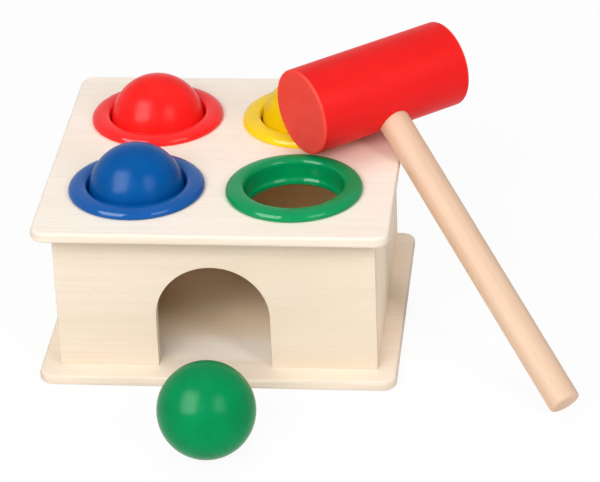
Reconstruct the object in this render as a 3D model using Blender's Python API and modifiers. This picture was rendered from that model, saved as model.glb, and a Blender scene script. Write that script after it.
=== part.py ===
"""Ball pounding toy: a wooden box with four plastic rings, four balls and a mallet.

X runs to the right, Y to the back and Z up. The origin is on the underside of the
base board, below the middle of the box that the four walls make.
"""
import math

import bmesh
import bpy
from mathutils import Euler, Vector

MM = 0.001

# Clearances and construction values
SEAT_GAP = 0.3 * MM
SCREW_GAP = 0.25 * MM
CUT_OVERRUN = 2.0 * MM
MERGE_LIMIT = 0.01 * MM

# Balls
BALL_DIAMETER = 45.0 * MM

# Plastic rings, measured from the ball outwards
RING_MOUTH_CLEARANCE = 0.75 * MM
RING_MOUTH_ROLL = 1.1 * MM
RING_FLANGE_WIDTH = 8.85 * MM
RING_FLANGE_HEIGHT = 4.3 * MM
RING_LIP_GRIP = 0.75 * MM
RING_NECK_WALL = 2.15 * MM
RING_HOLE_CLEARANCE = 0.4 * MM
RING_TAIL_DEPTH = 2.3 * MM
RING_TAIL_WALL = 2.0 * MM
RING_TAIL_CLEARANCE = 0.4 * MM
RING_LIP_WALL = 1.2 * MM
RING_LIP_HEIGHT = 1.0 * MM
RING_SPACING = 9.8 * MM
RING_GRID_SHIFT = -1.5 * MM

# Boards and walls
BOARD_THICKNESS = 5.0 * MM
BOARD_CORNER_RADIUS = 7.0 * MM
BOARD_EDGE_RADIUS = 1.5 * MM
WALL_THICKNESS = 6.0 * MM
WALL_HEIGHT = 72.4 * MM
WALL_EDGE_RADIUS = 0.5 * MM
BALL_CLEARANCE_SIDE = 9.5 * MM
TOP_SIDE_OVERHANG = 7.5 * MM
TOP_END_OVERHANG = 15.8 * MM
BASE_SIDE_LIP = 9.2 * MM
BASE_FRONT_LIP = 11.8 * MM
BASE_BACK_LIP = 0.4 * MM

# Arched opening in the front wall
ARCH_SIDE_CLEARANCE = 4.15 * MM
ARCH_TOP_CLEARANCE = 7.8 * MM
ARCH_SHIFT = -1.5 * MM

# Countersunk screws through the base board into the walls
SCREW_LENGTH = 16.0 * MM
SCREW_SHANK_DIAMETER = 2.5 * MM
SCREW_HEAD_DIAMETER = 5.0 * MM
SCREW_HEAD_HEIGHT = 1.5 * MM
SCREW_TIP_LENGTH = 2.5 * MM
SCREW_SLOT_WIDTH = 0.7 * MM
SCREW_SLOT_LENGTH = 2.8 * MM
SCREW_SLOT_DEPTH = 0.9 * MM
SCREW_WALL_END_DISTANCE = 23.0 * MM
SCREW_SIDE_WALL_END_DISTANCE = 25.0 * MM

# Mallet
HEAD_DIAMETER = 41.6 * MM
HEAD_LENGTH = 82.8 * MM
HEAD_RIM_RADIUS = 1.2 * MM
HANDLE_DIAMETER = 15.0 * MM
HANDLE_REACH = 181.0 * MM
HANDLE_CHAMFER = 1.0 * MM
HANDLE_SEAT_DEPTH = 9.0 * MM
HEAD_PAST_BALL = 25.7 * MM
MALLET_HEADING = math.radians(38.4)
MALLET_TILT = math.radians(1.35)

# Loose ball in front of the box
LOOSE_BALL_DISTANCE = 55.2 * MM
LOOSE_BALL_SIDE = 4.7 * MM

# Facet counts
BALL_SEGMENTS = 28
BALL_RINGS = 14
RING_SEGMENTS = 40
HOLE_SEGMENTS = 40
ARCH_SEGMENTS = 24
HEAD_SEGMENTS = 48
HANDLE_SEGMENTS = 28
SCREW_SEGMENTS = 12
CORNER_SEGMENTS = 5
EDGE_SEGMENTS = 3
WALL_EDGE_SEGMENTS = 1
RIM_SEGMENTS = 2
SMOOTH_ANGLE = math.radians(40.0)
BEVEL_ANGLE = math.radians(50.0)

# Sizes that follow from the ones above
BALL_RADIUS = BALL_DIAMETER / 2
MOUTH_RADIUS = BALL_RADIUS + RING_MOUTH_CLEARANCE
FLANGE_RADIUS = MOUTH_RADIUS + RING_FLANGE_WIDTH
NECK_RADIUS = MOUTH_RADIUS + RING_NECK_WALL
HOLE_RADIUS = NECK_RADIUS + RING_HOLE_CLEARANCE
LIP_RADIUS = BALL_RADIUS - RING_LIP_GRIP
TAIL_RADIUS = LIP_RADIUS + RING_TAIL_WALL
HOLE_PITCH = 2 * FLANGE_RADIUS + RING_SPACING
BOX_DEPTH = HOLE_PITCH + 2 * (TAIL_RADIUS + RING_TAIL_CLEARANCE + WALL_THICKNESS)
BOX_WIDTH = HOLE_PITCH + BALL_DIAMETER + 2 * (BALL_CLEARANCE_SIDE + WALL_THICKNESS)
TOP_WIDTH = BOX_WIDTH + 2 * TOP_SIDE_OVERHANG
TOP_DEPTH = BOX_DEPTH + 2 * TOP_END_OVERHANG
BASE_WIDTH = BOX_WIDTH + 2 * BASE_SIDE_LIP
BASE_DEPTH = BOX_DEPTH + BASE_FRONT_LIP + BASE_BACK_LIP
BASE_Y = (BASE_BACK_LIP - BASE_FRONT_LIP) / 2
WALL_BOTTOM = BOARD_THICKNESS + SEAT_GAP
WALL_TOP = WALL_BOTTOM + WALL_HEIGHT
TOP_BOTTOM = WALL_TOP + SEAT_GAP
TOP_FACE = TOP_BOTTOM + BOARD_THICKNESS
ARCH_RADIUS = BALL_RADIUS + ARCH_SIDE_CLEARANCE
ARCH_HEIGHT = BALL_DIAMETER + ARCH_TOP_CLEARANCE
HEAD_RADIUS = HEAD_DIAMETER / 2
HANDLE_RADIUS = HANDLE_DIAMETER / 2

# Ring places as signs across and along the box, with each ring's colour
RING_PLACES = {
    "red": (-1, 1),
    "yellow": (1, 1),
    "blue": (-1, -1),
    "green": (1, -1),
}

WOOD_PALE = (0.93, 0.82, 0.68)
WOOD_WARM = (0.90, 0.64, 0.42)
STEEL = (0.62, 0.62, 0.60)
PAINT = {
    "red": (0.80, 0.02, 0.02),
    "yellow": (0.86, 0.58, 0.01),
    "blue": (0.01, 0.10, 0.38),
    "green": (0.01, 0.30, 0.09),
}
PLASTIC = {
    "red": (0.86, 0.02, 0.03),
    "yellow": (0.93, 0.66, 0.01),
    "blue": (0.02, 0.11, 0.40),
    "green": (0.01, 0.34, 0.10),
}


def clear_scene():
    for obj in list(bpy.data.objects):
        bpy.data.objects.remove(obj, do_unlink=True)


def new_collection(name):
    collection = bpy.data.collections.new(name)
    bpy.context.scene.collection.children.link(collection)
    return collection


def new_material(name, colour, roughness, metallic):
    material = bpy.data.materials.new(name)
    material.use_nodes = True
    shader = material.node_tree.nodes["Principled BSDF"]
    shader.inputs["Base Color"].default_value = (*colour, 1.0)
    shader.inputs["Roughness"].default_value = roughness
    shader.inputs["Metallic"].default_value = metallic
    return material


def object_from_bmesh(name, bm, collection):
    mesh = bpy.data.meshes.new(name)
    bm.to_mesh(mesh)
    bm.free()
    obj = bpy.data.objects.new(name, mesh)
    collection.objects.link(obj)
    return obj


def paint(obj, colour, roughness, metallic=0.0):
    obj.data.materials.append(new_material(obj.name + "_finish", colour, roughness, metallic))


def smooth(obj):
    obj.data.shade_smooth()
    obj.data.set_sharp_from_angle(angle=SMOOTH_ANGLE)


def make_block(name, size, location, collection):
    """A box of the given size, centred on its origin."""
    bm = bmesh.new()
    bmesh.ops.create_cube(bm, size=1.0)
    bmesh.ops.scale(bm, vec=Vector(size), verts=bm.verts)
    obj = object_from_bmesh(name, bm, collection)
    obj.location = location
    return obj


def make_board(name, width, depth, location, collection):
    """A board with rounded corners and rounded arrises."""
    bm = bmesh.new()
    bmesh.ops.create_cube(bm, size=1.0)
    bmesh.ops.scale(bm, vec=Vector((width, depth, BOARD_THICKNESS)), verts=bm.verts)
    upright = [e for e in bm.edges if abs(e.verts[0].co.z - e.verts[1].co.z) > MERGE_LIMIT]
    bmesh.ops.bevel(
        bm,
        geom=upright,
        offset=BOARD_CORNER_RADIUS,
        segments=CORNER_SEGMENTS,
        profile=0.5,
        affect="EDGES",
    )
    obj = object_from_bmesh(name, bm, collection)
    obj.location = location
    round_edges(obj, BOARD_EDGE_RADIUS, EDGE_SEGMENTS)
    return obj


def make_cylinder(name, radius, length, segments, collection):
    """A cylinder along Z, centred on its origin."""
    bm = bmesh.new()
    bmesh.ops.create_cone(
        bm,
        cap_ends=True,
        segments=segments,
        radius1=radius,
        radius2=radius,
        depth=length,
    )
    return object_from_bmesh(name, bm, collection)


def make_turned(name, profile, closed, segments, collection):
    """A profile of (radius, height) points turned about Z, top to bottom on its outer side."""
    bm = bmesh.new()
    verts = [bm.verts.new((radius, 0.0, height)) for radius, height in profile]
    for first, second in zip(verts, verts[1:]):
        bm.edges.new((first, second))
    if closed:
        bm.edges.new((verts[-1], verts[0]))
    obj = object_from_bmesh(name, bm, collection)
    turn = obj.modifiers.new("turn", "SCREW")
    turn.axis = "Z"
    turn.angle = math.tau
    turn.steps = segments
    turn.render_steps = segments
    turn.use_merge_vertices = True
    turn.merge_threshold = MERGE_LIMIT
    turn.use_smooth_shade = True
    return obj


def make_prism(name, outline, length, collection):
    """A flat outline of (x, z) points, extruded along Y and centred on its origin."""
    curve = bpy.data.curves.new(name, "CURVE")
    curve.dimensions = "2D"
    curve.fill_mode = "BOTH"
    curve.extrude = length / 2
    spline = curve.splines.new("POLY")
    spline.points.add(len(outline) - 1)
    for point, (x, z) in zip(spline.points, outline):
        point.co = (x, z, 0.0, 1.0)
    spline.use_cyclic_u = True
    flat = bpy.data.objects.new(name, curve)
    collection.objects.link(flat)
    flat.rotation_euler = (math.pi / 2, 0.0, 0.0)
    evaluated = flat.evaluated_get(bpy.context.evaluated_depsgraph_get())
    bm = bmesh.new()
    mesh = bpy.data.meshes.new_from_object(evaluated)
    bm.from_mesh(mesh)
    bpy.data.meshes.remove(mesh)
    bmesh.ops.remove_doubles(bm, verts=bm.verts, dist=MERGE_LIMIT)
    bmesh.ops.recalc_face_normals(bm, faces=bm.faces)
    turn = flat.rotation_euler.copy()
    bpy.data.objects.remove(flat, do_unlink=True)
    obj = object_from_bmesh(name, bm, collection)
    obj.rotation_euler = turn
    return obj


def round_edges(obj, radius, segments):
    bevel = obj.modifiers.new("edges", "BEVEL")
    bevel.width = radius
    bevel.segments = segments
    bevel.limit_method = "ANGLE"
    bevel.angle_limit = BEVEL_ANGLE


def as_cutter(obj):
    obj.hide_render = True
    obj.display_type = "WIRE"
    return obj


def cut(target, cutter):
    boolean = target.modifiers.new(cutter.name, "BOOLEAN")
    boolean.operation = "DIFFERENCE"
    boolean.solver = "EXACT"
    boolean.object = cutter


def ring_inner_points():
    """The funnel that the ball sits in, from its rolled mouth down to its lip."""
    depth = BOARD_THICKNESS + RING_TAIL_DEPTH
    return [
        (MOUTH_RADIUS + RING_MOUTH_ROLL, RING_FLANGE_HEIGHT * 0.9),
        (MOUTH_RADIUS + RING_MOUTH_ROLL * 0.4, RING_FLANGE_HEIGHT * 0.62),
        (MOUTH_RADIUS, RING_FLANGE_HEIGHT * 0.25),
        (BALL_RADIUS + RING_MOUTH_CLEARANCE * 0.7, -depth * 0.45),
        (LIP_RADIUS, -depth),
    ]


def ring_profile():
    """Section of a ring: domed flange, neck in the board, narrower tail and thin lip below."""
    under = SEAT_GAP
    lip = -(BOARD_THICKNESS + RING_TAIL_DEPTH)
    dome = ((0.36, 1.0), (0.62, 0.96), (0.83, 0.8), (0.97, 0.5), (1.0, 0.25))
    outer = [
        (MOUTH_RADIUS + RING_FLANGE_WIDTH * across, RING_FLANGE_HEIGHT * up)
        for across, up in dome
    ]
    outer += [
        (FLANGE_RADIUS - RING_FLANGE_WIDTH * 0.04, under),
        (NECK_RADIUS, under),
        (NECK_RADIUS, -BOARD_THICKNESS * 0.7),
        (TAIL_RADIUS, -BOARD_THICKNESS * 0.94),
        (LIP_RADIUS + RING_LIP_WALL, lip - RING_LIP_HEIGHT),
    ]
    return outer + ring_inner_points()[::-1]


def seat_height():
    """Height of a seated ball's centre above the top face, clear of every funnel point."""
    reach = BALL_RADIUS + SEAT_GAP
    heights = [
        height + math.sqrt(reach ** 2 - radius ** 2)
        for radius, height in ring_inner_points()
        if radius < reach
    ]
    return max(heights)


def ring_place(colour):
    across, along = RING_PLACES[colour]
    return Vector((RING_GRID_SHIFT + across * HOLE_PITCH / 2, along * HOLE_PITCH / 2, TOP_FACE))


def screw_profile(gap):
    """Half section of a screw that stands head down, widened by the gap."""
    head = SCREW_HEAD_DIAMETER / 2 + gap
    shank = SCREW_SHANK_DIAMETER / 2 + gap
    return [
        (0.0, SCREW_LENGTH + gap),
        (shank, SCREW_LENGTH - SCREW_TIP_LENGTH + gap),
        (shank, SCREW_HEAD_HEIGHT + gap),
        (head, gap),
    ]


def screw_places():
    """Screw places along the middle of each wall, as name and (x, y)."""
    end_x = BOX_WIDTH / 2 - SCREW_WALL_END_DISTANCE
    side_y = BOX_DEPTH / 2 - WALL_THICKNESS - SCREW_SIDE_WALL_END_DISTANCE
    wall_y = BOX_DEPTH / 2 - WALL_THICKNESS / 2
    wall_x = BOX_WIDTH / 2 - WALL_THICKNESS / 2
    places = {}
    for wall, y in (("front", -wall_y), ("back", wall_y)):
        places["screw_" + wall + "_left"] = (-end_x, y)
        places["screw_" + wall + "_right"] = (end_x, y)
    for wall, x in (("left", -wall_x), ("right", wall_x)):
        places["screw_" + wall + "_front"] = (x, -side_y)
        places["screw_" + wall + "_back"] = (x, side_y)
    return places


def make_boards(parts, cutters):
    base = make_board(
        "base_board",
        BASE_WIDTH,
        BASE_DEPTH,
        (0.0, BASE_Y, BOARD_THICKNESS / 2),
        parts,
    )
    paint(base, WOOD_PALE, 0.6)
    top = make_board(
        "top_board",
        TOP_WIDTH,
        TOP_DEPTH,
        (0.0, 0.0, TOP_BOTTOM + BOARD_THICKNESS / 2),
        parts,
    )
    paint(top, WOOD_PALE, 0.6)
    for colour in RING_PLACES:
        drill = as_cutter(make_cylinder(
            "hole_" + colour,
            HOLE_RADIUS,
            BOARD_THICKNESS + 2 * CUT_OVERRUN,
            HOLE_SEGMENTS,
            cutters,
        ))
        drill.location = ring_place(colour) - Vector((0.0, 0.0, BOARD_THICKNESS / 2))
        cut(top, drill)
    for board in (base, top):
        smooth(board)
    return base, top


def make_walls(parts, cutters):
    """Front and back walls cover the ends of the two side walls."""
    middle = WALL_BOTTOM + WALL_HEIGHT / 2
    end_y = (BOX_DEPTH - WALL_THICKNESS) / 2
    side_x = (BOX_WIDTH - WALL_THICKNESS) / 2
    side_depth = BOX_DEPTH - 2 * (WALL_THICKNESS + SEAT_GAP)
    end_size = (BOX_WIDTH, WALL_THICKNESS, WALL_HEIGHT)
    side_size = (WALL_THICKNESS, side_depth, WALL_HEIGHT)
    walls = {
        "front_wall": make_block("front_wall", end_size, (0.0, -end_y, middle), parts),
        "back_wall": make_block("back_wall", end_size, (0.0, end_y, middle), parts),
        "left_wall": make_block("left_wall", side_size, (-side_x, 0.0, middle), parts),
        "right_wall": make_block("right_wall", side_size, (side_x, 0.0, middle), parts),
    }
    for wall in walls.values():
        paint(wall, WOOD_PALE, 0.6)
        round_edges(wall, WALL_EDGE_RADIUS, WALL_EDGE_SEGMENTS)
    arch = as_cutter(make_prism("arch", arch_outline(), WALL_THICKNESS + 2 * CUT_OVERRUN, cutters))
    arch.location = (ARCH_SHIFT, -end_y, 0.0)
    cut(walls["front_wall"], arch)
    return walls


def arch_outline():
    """Round-headed opening from below the wall's foot to its crown, as (x, z)."""
    spring = BOARD_THICKNESS + ARCH_HEIGHT - ARCH_RADIUS
    foot = WALL_BOTTOM - CUT_OVERRUN
    points = [(-ARCH_RADIUS, foot), (ARCH_RADIUS, foot)]
    for step in range(ARCH_SEGMENTS + 1):
        angle = math.pi * step / ARCH_SEGMENTS
        points.append((ARCH_RADIUS * math.cos(angle), spring + ARCH_RADIUS * math.sin(angle)))
    return points


def make_screws(base, walls, parts, cutters):
    """Countersunk screws, their holes in the base board and in the feet of the walls."""
    for name, (x, y) in screw_places().items():
        place = Vector((x, y, SEAT_GAP))
        wall = walls[name.split("_")[1] + "_wall"]
        profile = screw_profile(0.0)
        profile.append((0.0, 0.0))
        screw = make_turned(name, profile, False, SCREW_SEGMENTS, parts)
        screw.location = place
        paint(screw, STEEL, 0.35, 1.0)
        for turn, direction in enumerate(("along", "across")):
            size = [SCREW_SLOT_LENGTH, SCREW_SLOT_WIDTH, 2 * SCREW_SLOT_DEPTH]
            if turn:
                size[0], size[1] = size[1], size[0]
            slot_name = name + "_slot_" + direction
            cut(screw, as_cutter(make_block(slot_name, size, place, cutters)))
        profile = screw_profile(SCREW_GAP)
        mouth = SCREW_HEAD_DIAMETER / 2 + SCREW_GAP
        profile.append((mouth, -CUT_OVERRUN))
        profile.append((0.0, -CUT_OVERRUN))
        drill = as_cutter(make_turned(name + "_hole", profile, False, SCREW_SEGMENTS, cutters))
        drill.location = place
        cut(base, drill)
        cut(wall, drill)


def make_rings(parts):
    for colour in RING_PLACES:
        name = colour + "_ring"
        ring = make_turned(name, ring_profile(), True, RING_SEGMENTS, parts)
        ring.location = ring_place(colour)
        paint(ring, PLASTIC[colour], 0.3)


def make_balls(parts):
    """Three balls sit in their rings, and the green one lies in front of the arch."""
    seat = Vector((0.0, 0.0, seat_height()))
    front = BOX_DEPTH / 2 + BASE_FRONT_LIP + LOOSE_BALL_DISTANCE
    for colour in RING_PLACES:
        bm = bmesh.new()
        bmesh.ops.create_uvsphere(
            bm,
            u_segments=BALL_SEGMENTS,
            v_segments=BALL_RINGS,
            radius=BALL_RADIUS,
        )
        ball = object_from_bmesh(colour + "_ball", bm, parts)
        ball.location = ring_place(colour) + seat
        if colour == "green":
            ball.location = (ARCH_SHIFT + LOOSE_BALL_SIDE, -front, BALL_RADIUS)
        ball.data.shade_smooth()
        paint(ball, PAINT[colour], 0.4)


def mallet_frame():
    """Middle of the head and the turn of the mallet, from the three places where it rests.

    The near rim lies on the green ring, the side leans on the yellow ball and the rim of
    the handle's end stands on the floor.
    """
    tilt = MALLET_TILT
    heading = MALLET_HEADING
    along = Vector((
        math.cos(heading) * math.cos(tilt),
        math.sin(heading) * math.cos(tilt),
        math.sin(tilt),
    ))
    side = Vector((-math.sin(heading), math.cos(heading), 0.0))
    up = along.cross(side)
    ball = ring_place("yellow") + Vector((0.0, 0.0, seat_height()))
    near_height = TOP_FACE + RING_FLANGE_HEIGHT + SEAT_GAP + HEAD_RADIUS * math.cos(tilt)
    above = (near_height + HEAD_PAST_BALL * math.sin(tilt) - ball.z) / math.cos(tilt)
    touch = HEAD_RADIUS + BALL_RADIUS + SEAT_GAP
    across = math.sqrt(touch ** 2 - above ** 2)
    near = ball - HEAD_PAST_BALL * along - across * side + above * up
    middle = near + along * HEAD_LENGTH / 2
    reach = HANDLE_REACH - HANDLE_CHAMFER
    drop = middle.z - SEAT_GAP
    lean = math.asin(drop / math.hypot(reach, HANDLE_RADIUS)) - math.atan2(HANDLE_RADIUS, reach)
    roll = math.asin(math.sin(lean) / math.cos(tilt)) - math.pi / 2
    return middle, Euler((roll, -tilt, heading), "XYZ")


def make_mallet(parts, cutters):
    """The head lies along the mallet's X and the handle runs down its Z."""
    middle, turn = mallet_frame()
    mallet = bpy.data.objects.new("mallet", None)
    parts.objects.link(mallet)
    mallet.empty_display_size = HEAD_RADIUS
    mallet.location = middle
    mallet.rotation_euler = turn

    head = make_cylinder("hammer_head", HEAD_RADIUS, HEAD_LENGTH, HEAD_SEGMENTS, parts)
    head.rotation_euler = (0.0, math.pi / 2, 0.0)
    head.parent = mallet
    paint(head, PAINT["red"], 0.5)
    round_edges(head, HEAD_RIM_RADIUS, RIM_SEGMENTS)

    length = HANDLE_REACH + HANDLE_SEAT_DEPTH
    handle = make_cylinder("hammer_handle", HANDLE_RADIUS, length, HANDLE_SEGMENTS, parts)
    handle.location = (0.0, 0.0, HANDLE_SEAT_DEPTH - length / 2)
    handle.parent = mallet
    paint(handle, WOOD_WARM, 0.55)
    round_edges(handle, HANDLE_CHAMFER, 1)

    bore_depth = HEAD_RADIUS + HANDLE_SEAT_DEPTH + SEAT_GAP + CUT_OVERRUN
    bore_radius = HANDLE_RADIUS + SEAT_GAP
    bore = as_cutter(make_cylinder("handle_bore", bore_radius, bore_depth, HANDLE_SEGMENTS, cutters))
    bore.location = (0.0, 0.0, HANDLE_SEAT_DEPTH + SEAT_GAP - bore_depth / 2)
    bore.parent = mallet
    cut(head, bore)
    smooth(head)
    smooth(handle)


def main():
    clear_scene()
    parts = new_collection("ball_pounding_toy")
    cutters = new_collection("cutters")
    base, _top = make_boards(parts, cutters)
    walls = make_walls(parts, cutters)
    make_screws(base, walls, parts, cutters)
    make_rings(parts)
    make_balls(parts)
    make_mallet(parts, cutters)


main()
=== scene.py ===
import math

import bmesh
import bpy
from mathutils import Euler, Matrix, Vector


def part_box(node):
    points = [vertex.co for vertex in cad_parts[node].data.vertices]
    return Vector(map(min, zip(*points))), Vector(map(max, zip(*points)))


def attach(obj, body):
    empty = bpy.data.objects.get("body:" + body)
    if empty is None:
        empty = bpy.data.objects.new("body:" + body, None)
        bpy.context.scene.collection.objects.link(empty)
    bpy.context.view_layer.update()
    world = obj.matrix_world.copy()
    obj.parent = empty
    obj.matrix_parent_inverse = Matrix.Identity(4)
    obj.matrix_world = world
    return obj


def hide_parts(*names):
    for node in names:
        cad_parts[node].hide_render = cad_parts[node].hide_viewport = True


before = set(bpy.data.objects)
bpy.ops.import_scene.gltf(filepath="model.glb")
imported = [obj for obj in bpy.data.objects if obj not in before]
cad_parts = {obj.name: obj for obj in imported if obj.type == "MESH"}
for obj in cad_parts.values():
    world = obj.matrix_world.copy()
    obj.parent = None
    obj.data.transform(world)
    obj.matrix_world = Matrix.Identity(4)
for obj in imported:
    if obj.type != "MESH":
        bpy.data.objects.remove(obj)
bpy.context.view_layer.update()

# Ball pounding toy: a box of pale wood with four plastic rings, four balls and a mallet.
# The shapes come first, then the finishes, then the whole toy, and last the floor, the light
# and the view.

MM = 0.001

COLOURS = ("red", "yellow", "blue", "green")

# Balls
BALL_RADIUS = 22.5 * MM
BALL_CUTS = 31
BALL_UNEVENNESS = 0.05 * MM
UNEVENNESS_SIZE = 14.0 * MM

# Boards
CORNER_RADIUS = 7.0 * MM
CORNER_STEPS = 14
ARRIS_RADIUS = 1.5 * MM
ARRIS_STEPS = 5
HOLE_RADIUS = 25.8 * MM
HOLE_SIDES = 128

# Walls, and the arched doorway in the front one
WALL_ARRIS = 0.5 * MM
WALL_ARRIS_STEPS = 3
GLUE_LINE = 0.05 * MM
ARCH_X = -1.5 * MM
ARCH_RADIUS = 26.65 * MM
ARCH_SPRING = 31.15 * MM
ARCH_SIDES = 128

# Section of a ring: radius and height above the board's top face, in millimetres, over the
# domed flange, round the rolled mouth, down the funnel to the thin lip and up the neck
RING_SIDES = 64
RING_SECTION = (
    (31.4, 0.02), (31.95, 0.3), (32.2, 1.1), (32.0, 2.1), (31.3, 3.05), (30.2, 3.75),
    (28.7, 4.2), (27.0, 4.38), (25.6, 4.34), (24.6, 4.1), (23.75, 3.6), (23.3, 2.8),
    (23.05, 1.6), (22.95, 0.0), (22.9, -1.8), (22.85, -3.8), (22.6, -5.0), (22.15, -5.7),
    (21.75, -6.4), (21.6, -7.3), (21.75, -8.1), (22.3, -8.5), (22.9, -8.2), (23.2, -6.6),
    (23.5, -4.9), (24.1, -4.2), (25.1, -3.6), (25.4, -3.0), (25.4, -0.3), (25.6, 0.02),
    (28.4, 0.02),
)

# Mallet, in its own frame: the head lies along X and the handle runs down Z
MALLET_PLACE = Vector((68.833, 19.209, 109.370)) * MM
MALLET_TURN = Euler((-0.961956, -0.023562, 0.670206), "XYZ")
HEAD_RADIUS = 20.8 * MM
HEAD_LENGTH = 82.8 * MM
HEAD_SIDES = 144
HEAD_RIM = 1.2 * MM
HEAD_RIM_STEPS = 6
HANDLE_RADIUS = 7.5 * MM
HANDLE_TOP = 9.0 * MM
HANDLE_END = -181.0 * MM
HANDLE_SIDES = 72
HANDLE_CHAMFER = 1.6 * MM
HANDLE_CHAMFER_STEPS = 5
HANDLE_FIT = 0.08 * MM
BORE_SIDES = 96

# Screws in the underside: the section is radius and height in millimetres, from the head up
SCREW_NODES = (
    "screw_front_left", "screw_front_right", "screw_back_left", "screw_back_right",
    "screw_left_front", "screw_left_back", "screw_right_front", "screw_right_back",
)
SCREW_SECTION = (
    (2.325, 0.0), (2.5, 0.12), (2.45, 0.25), (1.25, 1.5), (1.25, 13.5), (0.125, 16.0),
)
SCREW_SIDES = 32
SCREW_SINK = 0.3 * MM
RECESS_BLADES = (Vector((1.4, 0.35, 0.9)) * MM, Vector((0.35, 1.4, 0.9)) * MM)
RECESS_TAPER = 0.55
POCKET_RADIUS = 2.56 * MM
POCKET_DEPTH = 1.2 * MM
POCKET_SIDES = 48

# Bench habits: points this near in height are level, a face with this much of its normal
# along Z looks up or down, a cutter reaches this far past what it cuts, and points nearer
# than the weld become one
LEVEL_WITHIN = 0.1 * MM
FACING = 0.9
OVERCUT = 1.0 * MM
WELD = 0.002 * MM

# Degrees past which an edge stays sharp, and past which a wall's edge is broken
BOARD_SHARP = 40.0
RING_SHARP = 60.0
HANDLE_SHARP = 30.0
SCREW_SHARP = 35.0
ARRIS_SHARP = 50.0


# ---------------------------------------------------------------- bench tools

def clear_bench():
    bpy.ops.object.select_all(action="DESELECT")


def work_on(piece):
    clear_bench()
    piece.select_set(True)
    bpy.context.view_layer.objects.active = piece


def name_piece(name):
    piece = bpy.context.object
    piece.name = name
    piece.data.name = name
    return piece


def open_mesh(piece):
    work_on(piece)
    bpy.ops.object.mode_set(mode="EDIT")
    bpy.context.tool_settings.mesh_select_mode = (False, True, False)
    bpy.ops.mesh.select_all(action="DESELECT")


def close_mesh():
    bpy.ops.object.mode_set(mode="OBJECT")


def pick_edges(piece, wanted):
    bpy.ops.mesh.select_all(action="DESELECT")
    shape = bmesh.from_edit_mesh(piece.data)
    for edge in shape.edges:
        if wanted(edge.verts[0].co, edge.verts[1].co):
            edge.select_set(True)
    bmesh.update_edit_mesh(piece.data)


def pick_faces(piece, wanted):
    bpy.context.tool_settings.mesh_select_mode = (False, False, True)
    bpy.ops.mesh.select_all(action="DESELECT")
    shape = bmesh.from_edit_mesh(piece.data)
    for face in shape.faces:
        if wanted(face.normal):
            face.select_set(True)
    bmesh.update_edit_mesh(piece.data)


def is_level(a, b):
    return abs(a.z - b.z) < LEVEL_WITHIN


def set_place(piece):
    """Puts the piece's place into its mesh."""
    work_on(piece)
    bpy.ops.object.transform_apply(location=True, rotation=True, scale=True)


def finish_with(piece, kind, **settings):
    """Applies one modifier to the piece."""
    work_on(piece)
    modifier = piece.modifiers.new(kind.lower(), kind)
    for key, value in settings.items():
        setattr(modifier, key, value)
    bpy.ops.object.modifier_apply(modifier=modifier.name)


def scrap(piece):
    bpy.data.objects.remove(piece, do_unlink=True)


def cut_away(piece, cutters):
    for cutter in cutters:
        finish_with(piece, "BOOLEAN", operation="DIFFERENCE", solver="EXACT", object=cutter)
    for cutter in cutters:
        scrap(cutter)


def smooth_over(piece, degrees=BOARD_SHARP, weighted=False):
    work_on(piece)
    bpy.ops.object.shade_smooth_by_angle(angle=math.radians(degrees))
    if weighted:
        finish_with(piece, "WEIGHTED_NORMAL", keep_sharp=True, weight=50)


def copy_piece(piece, name, shift):
    work_on(piece)
    bpy.ops.object.duplicate(linked=False)
    twin = name_piece(name)
    bpy.ops.transform.translate(value=shift)
    set_place(twin)
    return twin


def saw_block(name, low, high):
    clear_bench()
    bpy.ops.mesh.primitive_cube_add(size=1.0, location=(low + high) / 2, scale=high - low)
    piece = name_piece(name)
    set_place(piece)
    return piece


def turn_bar(name, sides, radius, length, place, turn=(0.0, 0.0, 0.0)):
    """A round bar with its middle at the place, upright unless it is turned."""
    clear_bench()
    bpy.ops.mesh.primitive_cylinder_add(
        vertices=sides, radius=radius, depth=length, location=place, rotation=turn
    )
    piece = name_piece(name)
    set_place(piece)
    return piece


def drill_bit(radius, low, high, sides):
    """A cutter that stands upright between two heights over a point."""
    return turn_bar("bit", sides, radius, high.z - low.z, (low + high) / 2)


def turn_on_lathe(name, section, sides, closed):
    """Draws a section in millimetres round the Z axis, loop after loop. An open one gets a
    face at each end."""
    clear_bench()
    section = [(radius * MM, height * MM) for radius, height in section]
    radius, height = section[0]
    bpy.ops.mesh.primitive_circle_add(
        vertices=sides, radius=radius, fill_type="NOTHING", location=(0.0, 0.0, height)
    )
    piece = name_piece(name)
    set_place(piece)
    open_mesh(piece)
    bpy.ops.mesh.select_all(action="SELECT")
    if not closed:
        bpy.ops.mesh.edge_face_add()
        bpy.ops.mesh.select_all(action="SELECT")
    points = section[1:] + section[:1] if closed else section[1:]
    for next_radius, next_height in points:
        bpy.ops.mesh.extrude_edges_move(
            TRANSFORM_OT_translate={"value": (0.0, 0.0, next_height - height)}
        )
        grow = next_radius / radius
        bpy.ops.transform.resize(value=(grow, grow, 1.0), center_override=(0.0, 0.0, 0.0))
        radius, height = next_radius, next_height
    if not closed:
        bpy.ops.mesh.edge_face_add()
    bpy.ops.mesh.select_all(action="SELECT")
    bpy.ops.mesh.remove_doubles(threshold=WELD)
    bpy.ops.mesh.normals_make_consistent(inside=False)
    close_mesh()
    return piece


def middle_of(node):
    low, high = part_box(node)
    return (low + high) / 2


def hand_over(piece, body, node, finish):
    """The piece gets its finish and takes the place of its CAD node."""
    piece.data.materials.clear()
    piece.data.materials.append(finish)
    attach(piece, body)
    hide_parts(node)


# -------------------------------------------------------------------- shapes

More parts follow.
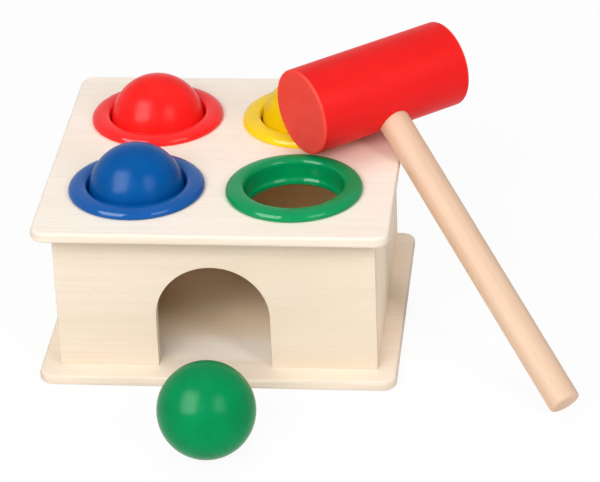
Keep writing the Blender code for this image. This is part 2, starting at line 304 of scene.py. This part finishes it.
def make_board(name, node):
    """A sawn board with rounded corners and softened arrises."""
    low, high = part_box(node)
    board = saw_block(name, low, high)
    open_mesh(board)
    pick_edges(board, lambda a, b: not is_level(a, b))
    bpy.ops.mesh.bevel(offset=CORNER_RADIUS, segments=CORNER_STEPS, affect="EDGES")
    pick_edges(board, is_level)
    bpy.ops.mesh.bevel(offset=ARRIS_RADIUS, segments=ARRIS_STEPS, affect="EDGES")
    close_mesh()
    return board


def ring_centre(colour):
    """The middle of a ring, at the height of the top board's upper face."""
    middle = middle_of(colour + "_ring")
    return Vector((middle.x, middle.y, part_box("top_board")[1].z))


def make_top_board():
    board = make_board("lid_with_holes", "top_board")
    low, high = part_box("top_board")
    bits = []
    for colour in COLOURS:
        centre = ring_centre(colour)
        start = Vector((centre.x, centre.y, low.z - OVERCUT))
        end = Vector((centre.x, centre.y, high.z + OVERCUT))
        bits.append(drill_bit(HOLE_RADIUS, start, end, HOLE_SIDES))
    cut_away(board, bits)
    smooth_over(board, weighted=True)
    return board


def make_base_board():
    board = make_board("base_with_screw_holes", "base_board")
    bits = []
    for node in SCREW_NODES:
        middle = middle_of(node)
        start = Vector((middle.x, middle.y, -OVERCUT))
        end = Vector((middle.x, middle.y, POCKET_DEPTH))
        bits.append(drill_bit(POCKET_RADIUS, start, end, POCKET_SIDES))
    cut_away(board, bits)
    smooth_over(board, weighted=True)
    return board


def make_wall(name, node):
    """A wall that reaches a glue line's depth into both boards."""
    low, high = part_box(node)
    low.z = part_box("base_board")[1].z - GLUE_LINE
    high.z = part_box("top_board")[0].z + GLUE_LINE
    return saw_block(name, low, high)


def break_arrises(wall):
    finish_with(
        wall,
        "BEVEL",
        width=WALL_ARRIS,
        segments=WALL_ARRIS_STEPS,
        limit_method="ANGLE",
        angle_limit=math.radians(ARRIS_SHARP),
    )
    smooth_over(wall, weighted=True)


def make_arch_cutter(wall_low, wall_high):
    """A round bar, halved at the springing line and drawn down through the foot."""
    centre = (ARCH_X, (wall_low.y + wall_high.y) / 2, ARCH_SPRING)
    length = 3 * (wall_high.y - wall_low.y)
    cutter = turn_bar(
        "arch_bar", ARCH_SIDES, ARCH_RADIUS, length, centre, (math.pi / 2, 0.0, 0.0)
    )
    open_mesh(cutter)
    bpy.ops.mesh.select_all(action="SELECT")
    bpy.ops.mesh.bisect(
        plane_co=centre, plane_no=(0.0, 0.0, -1.0), use_fill=True, clear_outer=True
    )
    pick_faces(cutter, lambda normal: normal.z < -FACING)
    drop = wall_low.z - ARCH_SPRING - 2 * OVERCUT
    bpy.ops.mesh.extrude_region_move(TRANSFORM_OT_translate={"value": (0.0, 0.0, drop)})
    close_mesh()
    return cutter


def make_front_wall():
    wall = make_wall("wall_with_arch", "front_wall")
    cut_away(wall, [make_arch_cutter(*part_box("front_wall"))])
    break_arrises(wall)
    return wall


def make_ring(name):
    ring = turn_on_lathe(name, RING_SECTION, RING_SIDES, closed=True)
    finish_with(ring, "SUBSURF", levels=1, render_levels=1)
    smooth_over(ring, RING_SHARP)
    return ring


def make_ball(name):
    """A turned ball: an evenly divided block, cast to a sphere and left a hair uneven."""
    clear_bench()
    bpy.ops.mesh.primitive_cube_add(size=2 * BALL_RADIUS, location=(0.0, 0.0, 0.0))
    ball = name_piece(name)
    open_mesh(ball)
    bpy.ops.mesh.select_all(action="SELECT")
    bpy.ops.mesh.subdivide(number_cuts=BALL_CUTS)
    close_mesh()
    finish_with(
        ball,
        "CAST",
        cast_type="SPHERE",
        factor=1.0,
        use_radius_as_size=False,
        size=BALL_RADIUS - BALL_UNEVENNESS / 2,
    )
    unevenness = bpy.data.textures.new("turning_unevenness", "CLOUDS")
    unevenness.noise_scale = UNEVENNESS_SIZE
    finish_with(ball, "DISPLACE", texture=unevenness, strength=BALL_UNEVENNESS, mid_level=0.5)
    work_on(ball)
    bpy.ops.object.shade_smooth()
    return ball


def place_on_mallet(piece):
    mallet = Matrix.LocRotScale(MALLET_PLACE, MALLET_TURN, None)
    piece.matrix_world = mallet @ piece.matrix_world
    set_place(piece)


def make_mallet_head():
    """A turned head with rounded rims and a blind hole that the handle is glued into."""
    head = turn_bar(
        "mallet_head",
        HEAD_SIDES,
        HEAD_RADIUS,
        HEAD_LENGTH,
        (0.0, 0.0, 0.0),
        (0.0, math.pi / 2, 0.0),
    )
    open_mesh(head)
    pick_edges(head, lambda a, b: abs(a.x - b.x) < LEVEL_WITHIN)
    bpy.ops.mesh.bevel(offset=HEAD_RIM, segments=HEAD_RIM_STEPS, affect="EDGES")
    close_mesh()
    bore_low = Vector((0.0, 0.0, -HEAD_RADIUS - 2 * OVERCUT))
    bore_high = Vector((0.0, 0.0, HANDLE_TOP + HANDLE_FIT))
    cut_away(head, [drill_bit(HANDLE_RADIUS + HANDLE_FIT, bore_low, bore_high, BORE_SIDES)])
    smooth_over(head, weighted=True)
    place_on_mallet(head)
    return head


def make_mallet_handle():
    """A plain dowel with rounded ends."""
    middle = (0.0, 0.0, (HANDLE_TOP + HANDLE_END) / 2)
    handle = turn_bar(
        "mallet_handle", HANDLE_SIDES, HANDLE_RADIUS, HANDLE_TOP - HANDLE_END, middle
    )
    open_mesh(handle)
    pick_edges(handle, is_level)
    bpy.ops.mesh.bevel(offset=HANDLE_CHAMFER, segments=HANDLE_CHAMFER_STEPS, affect="EDGES")
    close_mesh()
    smooth_over(handle, HANDLE_SHARP, weighted=True)
    place_on_mallet(handle)
    return handle


def make_screw(name):
    """A countersunk screw that stands on its head, with a cross recess."""
    screw = turn_on_lathe(name, SCREW_SECTION, SCREW_SIDES, closed=False)
    cutters = []
    for size in RECESS_BLADES:
        blade = saw_block("recess", -size, size)
        open_mesh(blade)
        pick_faces(blade, lambda normal: normal.z > FACING)
        bpy.ops.transform.resize(
            value=(RECESS_TAPER, RECESS_TAPER, 1.0), center_override=(0.0, 0.0, 0.0)
        )
        close_mesh()
        cutters.append(blade)
    cut_away(screw, cutters)
    smooth_over(screw, SCREW_SHARP)
    return screw


# ------------------------------------------------------------------ finishes

# Patterns: features to the metre along X, Y and Z of the place and turn, then detail,
# roughness and distortion
WOOD_FIGURE = ((5.0, 38.0, 38.0), 3.0, 0.55, 0.6)
WOOD_STREAKS = ((9.0, 420.0, 420.0), 3.0, 0.6)
WOOD_FIBRES = ((70.0, 2100.0, 2100.0), 2.0, 0.6)
WOOD_PORES = ((210.0, 2600.0, 2600.0), 1.0, 0.4)
LACQUER_CLOUD = ((85.0, 85.0, 85.0), 3.0, 0.55)
LACQUER_GRAIN = ((700.0, 700.0, 45.0), 3.0, 0.55, 0.3)
LACQUER_PEEL = ((1100.0, 1100.0, 1100.0), 2.0, 0.5)
PLASTIC_CLOUD = ((60.0, 60.0, 60.0), 3.0, 0.5)
PLASTIC_SKIN = ((1700.0, 1700.0, 1700.0), 2.0, 0.55)
HEAD_CLOUD = ((55.0, 55.0, 55.0), 3.0, 0.55)
HEAD_GRAIN = ((40.0, 800.0, 800.0), 3.0, 0.55, 0.2)
HEAD_PEEL = ((900.0, 900.0, 900.0), 2.0, 0.5)
HEAD_RUBBED = ((120.0, 120.0, 120.0), 5.0, 0.65)
STEEL_CLOUD = ((500.0, 500.0, 500.0), 3.0, 0.5)
STEEL_SCRATCHES = ((9000.0, 900.0, 900.0), 2.0, 0.6)

# Smoothest and roughest places of each finish
WOOD_ROUGHNESS = (0.5, 0.64)
LACQUER_ROUGHNESS = (0.19, 0.27)
PLASTIC_ROUGHNESS = (0.06, 0.1)
HEAD_ROUGHNESS = (0.42, 0.55)
STEEL_ROUGHNESS = (0.24, 0.4)

# Strength of the shine, where plain varnish has 0.5
WOOD_SHINE = 0.22
LACQUER_SHINE = 0.06
PLASTIC_SHINE = 0.15
HEAD_SHINE = 0.09

# Where one tone of the wood gives way to another: how far the painted light and shade of the
# faces inside the box reach past the box's inside, the changes in the doorway, the Y between
# the lighter near tones and the darker far ones, and the change at the top of a board's edges
INSIDE_SHADE_MARGIN = 0.2 * MM
JAMB_BLEND = 2.0 * MM
DOORWAY_BLEND = 10.0 * MM
PAINTED_SHADE_DEPTHS = (-56.0 * MM, -18.0 * MM)
EDGE_BLEND = 0.6 * MM
EDGE_DROP = 0.03 * MM

# From the head's end to where the paint of its side stops and that of its face starts
HEAD_SIDE_END = 1.5 * MM
HEAD_FACE_START = 0.5 * MM


def rgb(red, green, blue):
    """A colour written as its 0 to 255 screen values."""
    def linear(value):
        value /= 255
        return value / 12.92 if value <= 0.04045 else ((value + 0.055) / 1.055) ** 2.4
    return (linear(red), linear(green), linear(blue), 1.0)


def new_finish(name):
    material = bpy.data.materials.new(name)
    material.use_nodes = True
    tree = material.node_tree
    tree.nodes.clear()
    shader = add_node(tree, "BsdfPrincipled")
    add_node(tree, "OutputMaterial", {"Surface": shader.outputs["BSDF"]})
    return material, tree, shader


def fill_socket(tree, socket, value):
    """Links a socket to another one, or sets its value."""
    if isinstance(value, bpy.types.NodeSocket):
        tree.links.new(value, socket)
    else:
        socket.default_value = value


def add_node(tree, kind, inputs=None, **settings):
    made = tree.nodes.new("ShaderNode" + kind)
    for key, value in settings.items():
        setattr(made, key, value)
    for key, value in (inputs or {}).items():
        fill_socket(tree, made.inputs[key], value)
    return made


def calculate(tree, operation, first, second=None):
    inputs = {0: first} if second is None else {0: first, 1: second}
    return add_node(tree, "Math", inputs, operation=operation).outputs[0]


def times(tree, first, second):
    return calculate(tree, "MULTIPLY", first, second)


def surface_place(tree, place=(0.0, 0.0, 0.0), turn=(0.0, 0.0, 0.0)):
    """Object coordinates, centred on a place and turned with it."""
    coordinates = add_node(tree, "TexCoord")
    mapping = add_node(
        tree,
        "Mapping",
        {"Vector": coordinates.outputs["Object"], "Location": place, "Rotation": turn},
        vector_type="TEXTURE",
    )
    return mapping.outputs["Vector"]


def toy_axes(tree):
    """X, Y and Z in the toy's own frame."""
    coordinates = add_node(tree, "TexCoord")
    return add_node(tree, "SeparateXYZ", {"Vector": coordinates.outputs["Object"]}).outputs


def grain_noise(tree, place, stretch, detail, roughness, distortion=0.0):
    """Noise in one of the patterns above."""
    mapping = add_node(tree, "Mapping", {"Vector": place, "Scale": stretch})
    noise = add_node(
        tree,
        "TexNoise",
        {
            "Vector": mapping.outputs["Vector"],
            "Scale": 1.0,
            "Detail": detail,
            "Roughness": roughness,
            "Distortion": distortion,
        },
    )
    return noise.outputs["Fac"]


def remap(tree, value, low, high, to_low=0.0, to_high=1.0):
    """Turns the range from low to high into another one, with a soft start and end."""
    made = add_node(
        tree,
        "MapRange",
        {"Value": value, "From Min": low, "From Max": high, "To Min": to_low, "To Max": to_high},
        interpolation_type="SMOOTHSTEP",
    )
    return made.outputs["Result"]


def blend_colours(tree, factor, first, second):
    made = add_node(tree, "Mix", data_type="RGBA")
    for socket, value in ((0, factor), (6, first), (7, second)):
        fill_socket(tree, made.inputs[socket], value)
    return made.outputs[2]


def add_bump(tree, height, strength, distance, below=None):
    inputs = {"Height": height, "Strength": strength, "Distance": distance}
    if below is not None:
        inputs["Normal"] = below
    return add_node(tree, "Bump", inputs).outputs["Normal"]


def set_surface(tree, shader, tone, roughness, normal):
    tree.links.new(tone, shader.inputs["Base Color"])
    tree.links.new(roughness, shader.inputs["Roughness"])
    tree.links.new(normal, shader.inputs["Normal"])


def inside_shade_mask(tree, axes, change):
    """1 inside the box and 0 outside it, with a soft change over a length of the doorway: the
    mask where the faces inside get painted light and shade.
    """
    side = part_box("right_wall")[0].x + INSIDE_SHADE_MARGIN
    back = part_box("back_wall")[0].y + INSIDE_SHADE_MARGIN
    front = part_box("front_wall")[0].y + INSIDE_SHADE_MARGIN
    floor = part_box("base_board")[1].z - INSIDE_SHADE_MARGIN
    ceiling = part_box("top_board")[0].z + INSIDE_SHADE_MARGIN
    inside = remap(tree, axes["Y"], front, front + change)
    for value, operation, limit in (
        (calculate(tree, "ABSOLUTE", axes["X"]), "LESS_THAN", side),
        (calculate(tree, "ABSOLUTE", axes["Y"]), "LESS_THAN", back),
        (axes["Z"], "GREATER_THAN", floor),
        (axes["Z"], "LESS_THAN", ceiling),
    ):
        inside = times(tree, inside, calculate(tree, operation, value, limit))
    return inside


def paint_inside_light_and_shade(tree, tones, near, far, change):
    """Gives a board's faces inside the box, raw wood, other tones: lighter near the doorway as
    painted light, and darker and warmer far from it as painted shade.
    """
    axes = toy_axes(tree)
    inside = inside_shade_mask(tree, axes, change)
    depth = remap(tree, axes["Y"], *PAINTED_SHADE_DEPTHS)
    return [
        blend_colours(tree, inside, tone, blend_colours(tree, depth, near_tone, far_tone))
        for tone, near_tone, far_tone in zip(tones, near, far)
    ]


def stain_edges(tree, tone, edge_tone, top):
    """Gives a board's edges another tone, up to the board's top face."""
    height = toy_axes(tree)["Z"]
    end = top - EDGE_DROP
    return blend_colours(tree, remap(tree, height, end - EDGE_BLEND, end), edge_tone, tone)


def wood_finish(name, tones, place, turn, inside_shading=None, edge=None):
    """Sanded wood whose grain runs along X of the place and turn. The tones are the light,
    the deep and the flecks' one; the next argument gives the faces inside the box their
    painted light and shade, and edge is what stain_edges needs."""
    material, tree, shader = new_finish(name)
    here = surface_place(tree, place, turn)
    figure = remap(tree, grain_noise(tree, here, *WOOD_FIGURE), 0.34, 0.68)
    streaks = remap(tree, grain_noise(tree, here, *WOOD_STREAKS), 0.36, 0.7)
    fibres = grain_noise(tree, here, *WOOD_FIBRES)
    pores = remap(tree, grain_noise(tree, here, *WOOD_PORES), 0.66, 0.78)
    light, deep, fleck = tones
    if edge is not None:
        light = stain_edges(tree, light, *edge)
    if inside_shading is not None:
        # Painted light near the doorway and painted shade deeper inside the box
        light, deep = paint_inside_light_and_shade(tree, (light, deep), *inside_shading)
    tone = blend_colours(tree, times(tree, figure, 0.55), light, deep)
    tone = blend_colours(tree, times(tree, streaks, 0.5), tone, deep)
    tone = blend_colours(tree, times(tree, pores, 0.55), tone, fleck)
    normal = add_bump(tree, streaks, 0.25, 0.05 * MM)
    normal = add_bump(tree, fibres, 0.35, 0.04 * MM, normal)
    normal = add_bump(tree, pores, -0.5, 0.05 * MM, normal)
    set_surface(tree, shader, tone, remap(tree, fibres, 0.3, 0.7, *WOOD_ROUGHNESS), normal)
    shader.inputs["Specular IOR Level"].default_value = WOOD_SHINE
    return material


def lacquer_finish(name, colour, shade, place):
    """Lacquer on a turned ball, with the grain just telling through it."""
    material, tree, shader = new_finish(name)
    here = surface_place(tree, place)
    cloud = grain_noise(tree, here, *LACQUER_CLOUD)
    grain = grain_noise(tree, here, *LACQUER_GRAIN)
    peel = grain_noise(tree, here, *LACQUER_PEEL)
    tone = blend_colours(tree, remap(tree, cloud, 0.35, 0.7, 0.0, 0.55), colour, shade)
    tone = blend_colours(tree, remap(tree, grain, 0.52, 0.75, 0.0, 0.25), tone, shade)
    normal = add_bump(tree, grain, 0.12, 0.06 * MM)
    normal = add_bump(tree, peel, 0.1, 0.03 * MM, normal)
    set_surface(tree, shader, tone, remap(tree, cloud, 0.3, 0.7, *LACQUER_ROUGHNESS), normal)
    shader.inputs["Specular IOR Level"].default_value = LACQUER_SHINE
    return material


def plastic_finish(name, colour, shade, place):
    """Moulded soft plastic: an even colour with a fine moulded skin."""
    material, tree, shader = new_finish(name)
    here = surface_place(tree, place)
    cloud = grain_noise(tree, here, *PLASTIC_CLOUD)
    skin = grain_noise(tree, here, *PLASTIC_SKIN)
    tone = blend_colours(tree, remap(tree, cloud, 0.3, 0.75, 0.0, 0.4), colour, shade)
    normal = add_bump(tree, skin, 0.08, 0.02 * MM)
    set_surface(tree, shader, tone, remap(tree, cloud, 0.3, 0.7, *PLASTIC_ROUGHNESS), normal)
    shader.inputs["Specular IOR Level"].default_value = PLASTIC_SHINE
    return material


def head_finish(name, colour, face_colour_and_sheen, shade):
    """Satin paint on the head's side, rougher on the end faces where the end grain drank it, and
    paler there, partly from the end grain and partly as a painted sheen.
    """
    material, tree, shader = new_finish(name)
    here = surface_place(tree, MALLET_PLACE, MALLET_TURN)
    along = add_node(tree, "SeparateXYZ", {"Vector": here}).outputs["X"]
    half = HEAD_LENGTH / 2
    end = remap(
        tree, calculate(tree, "ABSOLUTE", along), half - HEAD_SIDE_END, half - HEAD_FACE_START
    )
    cloud = grain_noise(tree, here, *HEAD_CLOUD)
    grain = grain_noise(tree, here, *HEAD_GRAIN)
    peel = grain_noise(tree, here, *HEAD_PEEL)
    rubbed = grain_noise(tree, here, *HEAD_RUBBED)
    tone = blend_colours(tree, remap(tree, cloud, 0.3, 0.72, 0.0, 0.5), colour, shade)
    tone = blend_colours(tree, remap(tree, grain, 0.5, 0.75, 0.0, 0.22), tone, shade)
    # The end faces get the paler red, partly a painted sheen, mottled with the side's red
    face = blend_colours(tree, remap(tree, rubbed, 0.3, 0.8, 0.0, 0.3), face_colour_and_sheen, colour)
    tone = blend_colours(tree, end, tone, face)
    normal = add_bump(tree, grain, 0.14, 0.06 * MM)
    normal = add_bump(tree, peel, 0.12, 0.03 * MM, normal)
    set_surface(tree, shader, tone, remap(tree, end, 0.0, 1.0, *HEAD_ROUGHNESS), normal)
    shader.inputs["Specular IOR Level"].default_value = HEAD_SHINE
    return material


def steel_finish(name, bright, dull):
    """Zinc-plated steel with fine scratches."""
    material, tree, shader = new_finish(name)
    here = surface_place(tree)
    cloud = grain_noise(tree, here, *STEEL_CLOUD)
    scratches = grain_noise(tree, here, *STEEL_SCRATCHES)
    tone = blend_colours(tree, remap(tree, cloud, 0.3, 0.7), bright, dull)
    normal = add_bump(tree, scratches, 0.2, 0.01 * MM)
    set_surface(tree, shader, tone, remap(tree, scratches, 0.3, 0.7, *STEEL_ROUGHNESS), normal)
    shader.inputs["Metallic"].default_value = 1.0
    return material


# ------------------------------------------------------------- the whole toy

# Woods: light tone, deep tone and flecks
# The front wall's cream is darker than the lid's: painted shade that offsets the strong frontal
# lamp on the upright faces in front
FRONT_CREAM_PAINTED_SHADE = (rgb(232, 217, 197), rgb(224, 206, 184), rgb(216, 195, 169))
LID_CREAM = (rgb(254, 244, 231), rgb(247, 232, 215), rgb(235, 215, 192))
BASE_CREAM = (rgb(251, 238, 221), rgb(244, 226, 204), rgb(235, 213, 186))
# The side and back walls' cream is warmer and a little darker than the lid's: painted warm
# shade, in place of light bounced onto walls in shade
SIDE_CREAM_PAINTED_WARM_SHADE = (rgb(251, 234, 208), rgb(244, 222, 193), rgb(234, 208, 174))
BEECH = (rgb(226, 195, 168), rgb(217, 178, 149), rgb(195, 150, 116))

# Edges of the boards
LID_EDGE = rgb(229, 213, 194)
BASE_EDGE = rgb(209, 196, 181)

# Raw faces inside the box, with painted light and shade: light and deep tone near the doorway,
# lighter as painted light, the same far from it, darker and warmer as painted shade, and the
# length of the change in the doorway
# Far tones, darker and warmer: painted shade deep in the box
RAW_WOOD_PAINTED_SHADE = (rgb(253, 226, 183), rgb(245, 205, 156))
RAW_FLOOR_PAINTED_SHADE = (rgb(254, 236, 206), rgb(251, 222, 184))
# The back wall's inside, darker still: painted shade
RAW_BACK_PAINTED_SHADE = (rgb(232, 197, 148), rgb(221, 179, 128))
# Near tones, lighter: painted light where the doorway lets it in, on the floor and on the jamb
DOOR_FLOOR_PAINTED_LIGHT = (rgb(254, 245, 232), rgb(252, 237, 220))
JAMB_PAINTED_LIGHT = (rgb(254, 240, 219), rgb(250, 230, 203))
WALL_INSIDE_PAINTED_SHADE = (JAMB_PAINTED_LIGHT, RAW_WOOD_PAINTED_SHADE, JAMB_BLEND)
BACK_INSIDE_PAINTED_SHADE = (RAW_BACK_PAINTED_SHADE, RAW_BACK_PAINTED_SHADE, JAMB_BLEND)
FLOOR_INSIDE_PAINTED_SHADE = (DOOR_FLOOR_PAINTED_LIGHT, RAW_FLOOR_PAINTED_SHADE, DOORWAY_BLEND)

# Places in the plank that the panels were cut from, in metres, and the grain's turn
ALONG_X = (0.0, 0.0, 0.0)
ALONG_Y = (0.0, 0.0, math.pi / 2)
LID_CUT = (0.11, 0.37, 0.05)
BASE_CUT = (0.53, -0.21, 0.4)
FRONT_CUT = (-0.4, 0.2, 0.71)
SIDE_PANELS = (
    ("back", (1.2, 0.9, -0.8), ALONG_X, BACK_INSIDE_PAINTED_SHADE),
    ("left", (1.2, 0.9, -0.8), ALONG_Y, WALL_INSIDE_PAINTED_SHADE),
    ("right", (1.5, 0.9, -1.0), ALONG_Y, WALL_INSIDE_PAINTED_SHADE),
)

# Paints and plastics: colour and its shade
BALL_PAINT = {
    "red": (rgb(250, 38, 34), rgb(238, 26, 26)),
    "yellow": (rgb(243, 205, 12), rgb(232, 192, 6)),
    "blue": (rgb(0, 84, 155), rgb(0, 74, 141)),
    "green": (rgb(0, 138, 80), rgb(0, 125, 71)),
}
RING_PLASTIC = {
    "red": (rgb(247, 40, 38), rgb(238, 30, 30)),
    "yellow": (rgb(252, 214, 20), rgb(246, 204, 10)),
    "blue": (rgb(10, 87, 163), rgb(7, 77, 149)),
    "green": (rgb(0, 147, 85), rgb(0, 136, 77)),
}
HEAD_RED = rgb(234, 30, 29)
# The end faces' paler red: partly the end grain, partly a painted sheen
HEAD_FACE_RED_AND_SHEEN = rgb(252, 79, 65)
HEAD_SHADE = rgb(225, 25, 24)
STEEL_BRIGHT = rgb(196, 196, 190)
STEEL_DULL = rgb(160, 160, 156)


def hand_over_panel(panel, node, *wood):
    hand_over(panel, "box", node, wood_finish("wood_" + panel.name, *wood))


def make_woodwork():
    lid_edge = (LID_EDGE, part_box("top_board")[1].z)
    base_edge = (BASE_EDGE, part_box("base_board")[1].z)
    lid, base, front = make_top_board(), make_base_board(), make_front_wall()
    hand_over_panel(lid, "top_board", LID_CREAM, LID_CUT, ALONG_X, WALL_INSIDE_PAINTED_SHADE, lid_edge)
    hand_over_panel(base, "base_board", BASE_CREAM, BASE_CUT, ALONG_X, FLOOR_INSIDE_PAINTED_SHADE, base_edge)
    hand_over_panel(front, "front_wall", FRONT_CREAM_PAINTED_SHADE, FRONT_CUT, ALONG_X, WALL_INSIDE_PAINTED_SHADE)
    for side, cut, turn, inside_shading in SIDE_PANELS:
        wall = make_wall(side + "_panel", side + "_wall")
        break_arrises(wall)
        hand_over_panel(wall, side + "_wall", SIDE_CREAM_PAINTED_WARM_SHADE, cut, turn, inside_shading)


def make_rings_and_balls():
    first_ring = make_ring("ring_pattern")
    first_ball = make_ball("ball_pattern")
    for colour in COLOURS:
        centre = ring_centre(colour)
        ring = copy_piece(first_ring, "cup_ring_" + colour, centre)
        plastic = plastic_finish("plastic_" + colour, *RING_PLASTIC[colour], centre)
        hand_over(ring, "box", colour + "_ring", plastic)
        middle = middle_of(colour + "_ball")
        ball = copy_piece(first_ball, "turned_ball_" + colour, middle)
        paint = lacquer_finish("lacquer_" + colour, *BALL_PAINT[colour], middle)
        hand_over(ball, colour + "_ball", colour + "_ball", paint)
    scrap(first_ring)
    scrap(first_ball)


def make_mallet():
    paint = head_finish("paint_head", HEAD_RED, HEAD_FACE_RED_AND_SHEEN, HEAD_SHADE)
    hand_over(make_mallet_head(), "hammer", "hammer_head", paint)
    grain_down = MALLET_TURN.to_matrix() @ Matrix.Rotation(math.pi / 2, 3, "Y")
    beech = wood_finish("wood_handle", BEECH, MALLET_PLACE, grain_down.to_euler("XYZ"))
    hand_over(make_mallet_handle(), "hammer", "hammer_handle", beech)


def make_screws():
    steel = steel_finish("zinc_plated_steel", STEEL_BRIGHT, STEEL_DULL)
    pattern = make_screw("screw_pattern")
    for node in SCREW_NODES:
        middle = middle_of(node)
        screw = copy_piece(pattern, "fixing_" + node, Vector((middle.x, middle.y, SCREW_SINK)))
        hand_over(screw, "box", node, steel)
    scrap(pattern)


# -------------------------------------------------------- floor, light, view

WHITE = (1.0, 1.0, 1.0, 1.0)
FLOOR_SIZE = 8.0
FLOOR_DROP = 0.02 * MM
FLOOR_PAPER = (0.95, 0.95, 0.95, 1.0)
FLOOR_GLOW = 0.92
SOFT_FILL = 0.22

# The lamps look at this point, from these ways
LAMP_AIM = Vector((0.0, -0.02, 0.06))
KEY_WAY = Vector((-0.52, -0.58, 0.63))
SECOND_WAY = Vector((0.58, -0.58, 0.57))
FRONT_WAY = Vector((-0.14, -0.8, 0.58))
OVERHEAD_WAY = Vector((0.0, 0.14, 0.99))
GLEAM_LEAN = math.radians(20.0)

# The photograph's frame and viewpoint, in pixels, metres and degrees
PHOTO_WIDTH = 600
PHOTO_FOCAL = 3145.98
PHOTO_SHIFT = (25.55, -0.57)
SENSOR_WIDTH = 36.0
CAMERA_PLACE = Vector((185.0, -1323.3, 764.3)) * MM
CAMERA_PITCH = math.radians(28.64)
CAMERA_YAW = math.radians(7.08)
CAMERA_ROLL = math.radians(-2.50)
CAMERA_REACH = (0.05, 50.0)


def seen_or_mirrored(tree):
    """1 for what the camera sees, straight, mirrored or through glass, and 0 for light."""
    path = add_node(tree, "LightPath").outputs
    seen = calculate(tree, "MAXIMUM", path["Is Camera Ray"], path["Is Glossy Ray"])
    return calculate(tree, "MAXIMUM", seen, path["Is Transmission Ray"])


def make_floor():
    """A pale floor that looks white to the camera and keeps the toy's soft shadow."""
    clear_bench()
    bpy.ops.mesh.primitive_plane_add(size=FLOOR_SIZE, location=(0.0, 0.0, -FLOOR_DROP))
    floor = name_piece("floor")
    material = bpy.data.materials.new("floor_paper")
    material.use_nodes = True
    tree = material.node_tree
    tree.nodes.clear()
    paper = add_node(tree, "BsdfDiffuse", {"Color": FLOOR_PAPER})
    glow = add_node(tree, "Emission", {"Color": WHITE, "Strength": 1.0})
    share = times(tree, seen_or_mirrored(tree), FLOOR_GLOW)
    mixed = add_node(
        tree, "MixShader", {"Fac": share, 1: paper.outputs["BSDF"], 2: glow.outputs["Emission"]}
    )
    add_node(tree, "OutputMaterial", {"Surface": mixed.outputs["Shader"]})
    floor.data.materials.append(material)


def make_world():
    """White behind the toy, and a soft even fill on it."""
    world = bpy.data.worlds.new("studio")
    bpy.context.scene.world = world
    world.use_nodes = True
    tree = world.node_tree
    tree.nodes.clear()
    white = add_node(tree, "Background", {"Color": WHITE, "Strength": 1.0})
    soft = add_node(tree, "Background", {"Color": WHITE, "Strength": SOFT_FILL})
    mixed = add_node(
        tree,
        "MixShader",
        {
            "Fac": seen_or_mirrored(tree),
            1: soft.outputs["Background"],
            2: white.outputs["Background"],
        },
    )
    add_node(tree, "OutputWorld", {"Surface": mixed.outputs["Shader"]})


def make_lamp(name, way, distance, size, power, gleam=False, lean=0.0):
    """A lamp that faces the toy from a way. It lights the toy and doesn't show in its gloss,
    but a gleam shows only there, and may lean to one side."""
    lamp = bpy.data.lights.new(name, "AREA")
    lamp.shape = "RECTANGLE"
    lamp.size, lamp.size_y = size
    lamp.energy = power
    holder = bpy.data.objects.new(name, lamp)
    bpy.context.scene.collection.objects.link(holder)
    way = way.normalized()
    holder.location = LAMP_AIM + distance * way
    facing = way.to_track_quat("Z", "Y").to_matrix() @ Matrix.Rotation(lean, 3, "Z")
    holder.rotation_euler = facing.to_euler()
    holder.visible_diffuse = not gleam
    holder.visible_glossy = gleam


def make_lamps():
    """Each lamp's distance and size are in metres and its power in watts."""
    make_lamp("key_softbox", KEY_WAY, 2.2, (0.72, 1.15), 5.5)
    make_lamp("key_gleam", KEY_WAY, 2.1, (1.35, 1.8), 124.0, gleam=True, lean=GLEAM_LEAN)
    make_lamp("second_softbox", SECOND_WAY, 2.2, (0.5, 0.85), 11.5)
    make_lamp("second_gleam", SECOND_WAY, 2.1, (0.9, 1.25), 27.0, gleam=True, lean=-GLEAM_LEAN)
    make_lamp("front_diffuser", FRONT_WAY, 2.4, (1.6, 0.8), 32.5)
    make_lamp("overhead_diffuser", OVERHEAD_WAY, 2.2, (1.6, 1.6), 13.0)


def make_camera():
    """The photograph's viewpoint."""
    forward = Vector((
        -math.sin(CAMERA_YAW) * math.cos(CAMERA_PITCH),
        math.cos(CAMERA_YAW) * math.cos(CAMERA_PITCH),
        -math.sin(CAMERA_PITCH),
    ))
    level = Vector((math.cos(CAMERA_YAW), math.sin(CAMERA_YAW), 0.0))
    above = level.cross(forward)
    right = math.cos(CAMERA_ROLL) * level + math.sin(CAMERA_ROLL) * above
    up = -math.sin(CAMERA_ROLL) * level + math.cos(CAMERA_ROLL) * above
    camera = bpy.data.cameras.new("photo_view")
    camera.sensor_fit = "HORIZONTAL"
    camera.sensor_width = SENSOR_WIDTH
    camera.lens = PHOTO_FOCAL / PHOTO_WIDTH * SENSOR_WIDTH
    camera.shift_x, camera.shift_y = (shift / PHOTO_WIDTH for shift in PHOTO_SHIFT)
    camera.clip_start, camera.clip_end = CAMERA_REACH
    holder = bpy.data.objects.new("photo_view", camera)
    bpy.context.scene.collection.objects.link(holder)
    holder.matrix_world = Matrix((
        (right.x, up.x, -forward.x, CAMERA_PLACE.x),
        (right.y, up.y, -forward.y, CAMERA_PLACE.y),
        (right.z, up.z, -forward.z, CAMERA_PLACE.z),
        (0.0, 0.0, 0.0, 1.0),
    ))
    bpy.context.scene.camera = holder


make_woodwork()
make_rings_and_balls()
make_mallet()
make_screws()
make_floor()
make_world()
make_lamps()
make_camera()

bpy.context.scene.view_settings.view_transform = "Standard"
